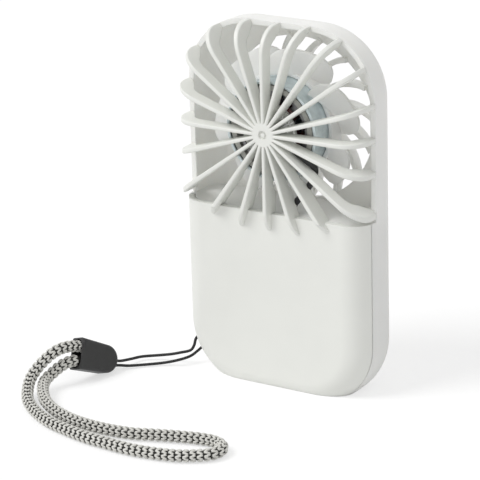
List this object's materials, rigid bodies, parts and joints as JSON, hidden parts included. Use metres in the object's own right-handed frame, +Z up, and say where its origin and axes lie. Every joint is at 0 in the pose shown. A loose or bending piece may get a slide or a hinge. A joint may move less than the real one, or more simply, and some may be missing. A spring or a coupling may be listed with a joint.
{
  "type": "pocket fan",
  "caption": "Flat pocket fan that stands on its base: ribbed intake cage, motor-driven impeller, swirl grille, battery room with a press key, and a wrist strap.",
  "frame": {"origin": "centre of the flat base, below the middle of the housing", "axes": "+Z up along the housing, +Y towards the front grille where the air leaves, +X to the right seen from the rear"},
  "size_m": [0.0852, 0.0785, 0.1],
  "materials": {
    "white_shell": "fine satin moulded surface",
    "white_blade": "smooth moulded surface",
    "steel": "plated and slightly dull",
    "magnet": "matt coated",
    "laminate": "stacked sheet edges",
    "copper": "dark red enamelled wire",
    "black_plastic": "matt",
    "brass": "turned",
    "board": "solder mask",
    "battery": "foil pouch",
    "foam": "soft foam",
    "button": "smooth key",
    "lamp": "clear light pipe",
    "clip": "dark grey, satin",
    "cord": "thin braided cord",
    "strap": "round braid, light grey"
  },
  "bodies": {
    "case": {"rear_shell": "white_shell", "front_shell": "white_shell", "bearing_tube": "brass", "bearing_rear": "brass", "bearing_front": "brass", "stator_core": "laminate", "stator_insulator": "black_plastic", "winding_1": "copper", "winding_2": "copper", "winding_3": "copper", "winding_4": "copper", "winding_5": "copper", "winding_6": "copper", "motor_board": "board", "motor_lead": "black_plastic", "battery_cell": "battery", "battery_pad": "foam", "main_board": "board", "board_screw_1": "steel", "board_screw_2": "steel", "usb_port": "steel", "tact_switch": "black_plastic", "charge_lamp": "lamp", "lanyard_cord": "cord", "strap_clip": "clip", "wrist_strap": "strap"},
    "rotor": {"impeller": "white_blade", "rotor_can": "steel", "magnet_ring": "magnet", "motor_shaft": "steel"},
    "button": {"power_button": "button", "switch_plunger": "black_plastic"}
  },
  "joints": [
    {"name": "impeller_spin", "type": "hinge", "parent": "case", "child": "rotor", "pos_m": [0, 0, 0.0718], "axis": [0, -1, 0], "continuous": true},
    {"name": "power_press", "type": "slide", "parent": "case", "child": "button", "axis": [0, -1, 0], "range_m": [0, 0.00025], "stiffness_N_per_m": 1500}
  ]
}
